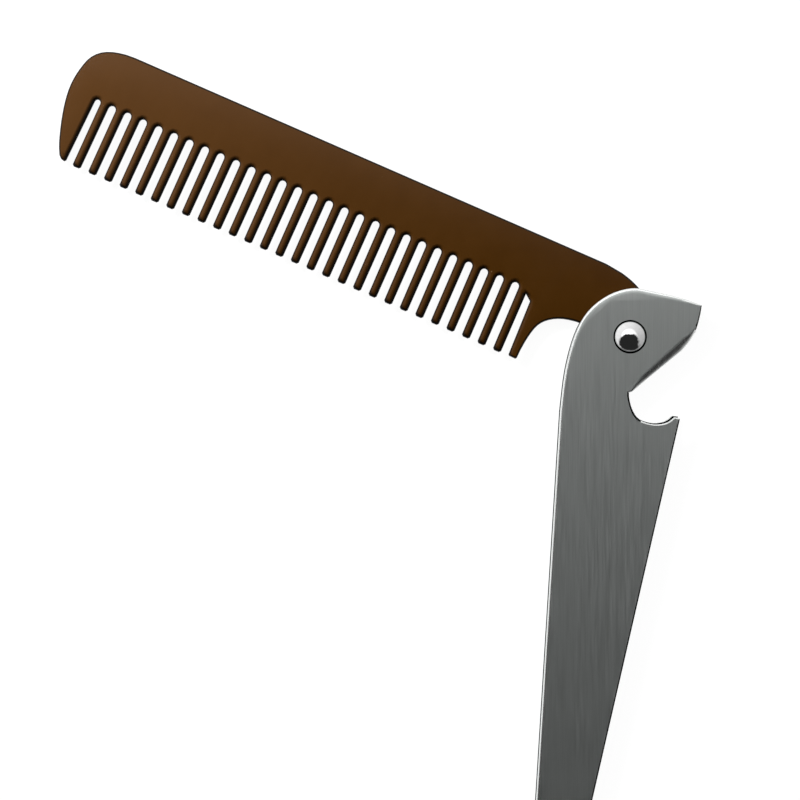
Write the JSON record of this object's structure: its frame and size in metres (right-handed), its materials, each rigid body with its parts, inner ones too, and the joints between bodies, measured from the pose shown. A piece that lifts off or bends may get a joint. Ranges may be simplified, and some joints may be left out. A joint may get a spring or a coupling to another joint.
{
  "type": "folding comb",
  "caption": "Pocket comb that folds on a rivet into a slim two-plate steel handle, whose head is a bottle opener with a beak and a hooked notch.",
  "frame": {"origin": "on the handle's flat back face, midway across the handle, 30 mm along Y below the rivet's axis", "axes": "+Z out of the front face, which shows the domed rivet; +Y from the handle's tail towards its head; +X towards the beak"},
  "size_m": [0.1264, 0.1793, 0.0056],
  "materials": {
    "handle_steel": "brushed lengthwise, satin",
    "comb_plastic": "dark brown satin plastic with rounded edges",
    "rivet_steel": "polished"
  },
  "bodies": {
    "handle": {"handle": "handle_steel", "rivet": "rivet_steel"},
    "comb": {"comb": "comb_plastic"}
  },
  "joints": [
    {"name": "comb_hinge", "type": "hinge", "parent": "handle", "child": "comb", "pos_m": [0.0041, 0.03, 0.00205], "axis": [0, 0, 1], "range_deg": [-80, 100]}
  ]
}
